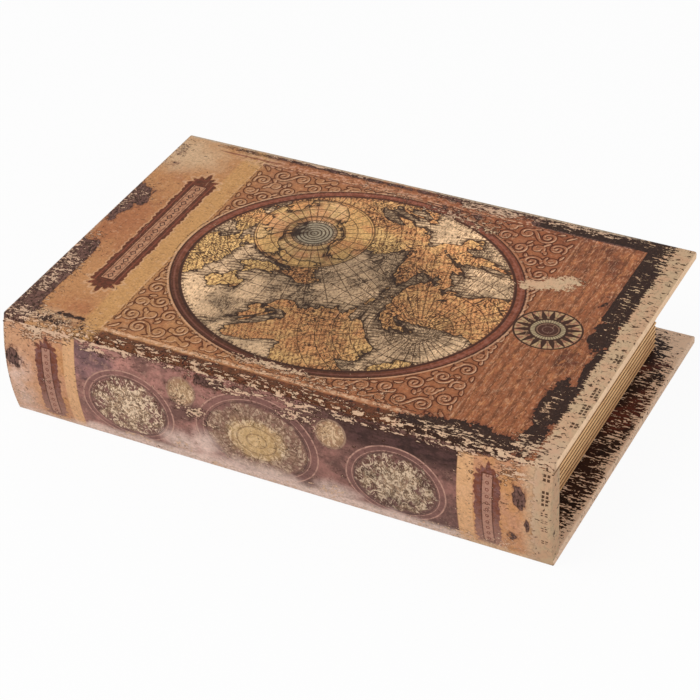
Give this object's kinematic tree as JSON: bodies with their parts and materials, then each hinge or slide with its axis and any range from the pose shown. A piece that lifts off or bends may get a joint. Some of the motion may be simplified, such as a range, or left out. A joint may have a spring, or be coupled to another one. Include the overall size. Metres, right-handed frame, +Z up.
{
  "type": "book box",
  "caption": "Keepsake box made like an old bound book, with a lined tray behind ribbed page edges and a cloth-hinged lid board.",
  "frame": {"origin": "centre of the object's box, on the surface that it stands on", "axes": "+X along the spine from head to tail, +Y from the spine to the fore edge, +Z up"},
  "size_m": [0.26, 0.17, 0.053],
  "materials": {
    "printed_cloth": "satin printed book cloth, worn pale at the edges",
    "hinge_cloth": "dark brown book cloth",
    "fibreboard": "raw medium-density fibreboard",
    "spine_wood": "raw moulded wood",
    "page_gold": "ribbed strip painted dull gold with dark brown grooves",
    "lining_paper": "matt dark brown paper",
    "floor_card": "dark brown flocked card",
    "magnet_nickel": "nickel-plated disc"
  },
  "bodies": {
    "base": {"base_board": "fibreboard", "base_wrap": "printed_cloth", "spine_core": "spine_wood", "spine_wrap": "printed_cloth", "spine_hinge_cloth": "hinge_cloth", "head_wall": "fibreboard", "tail_wall": "fibreboard", "fore_edge_wall": "fibreboard", "head_page_edge": "page_gold", "tail_page_edge": "page_gold", "fore_page_edge": "page_gold", "floor_lining": "floor_card", "head_lining": "lining_paper", "tail_lining": "lining_paper", "fore_lining": "lining_paper", "spine_lining": "lining_paper", "wall_magnets": "magnet_nickel"},
    "lid": {"lid_board": "fibreboard", "lid_wrap": "printed_cloth", "lid_hinge_cloth": "hinge_cloth", "lid_lining": "lining_paper", "lid_magnets": "magnet_nickel"}
  },
  "joints": [
    {"name": "lid_hinge", "type": "hinge", "parent": "base", "child": "lid", "pos_m": [0, -0.08236, 0.0491], "axis": [1, 0, 0], "range_deg": [0, 178]}
  ]
}
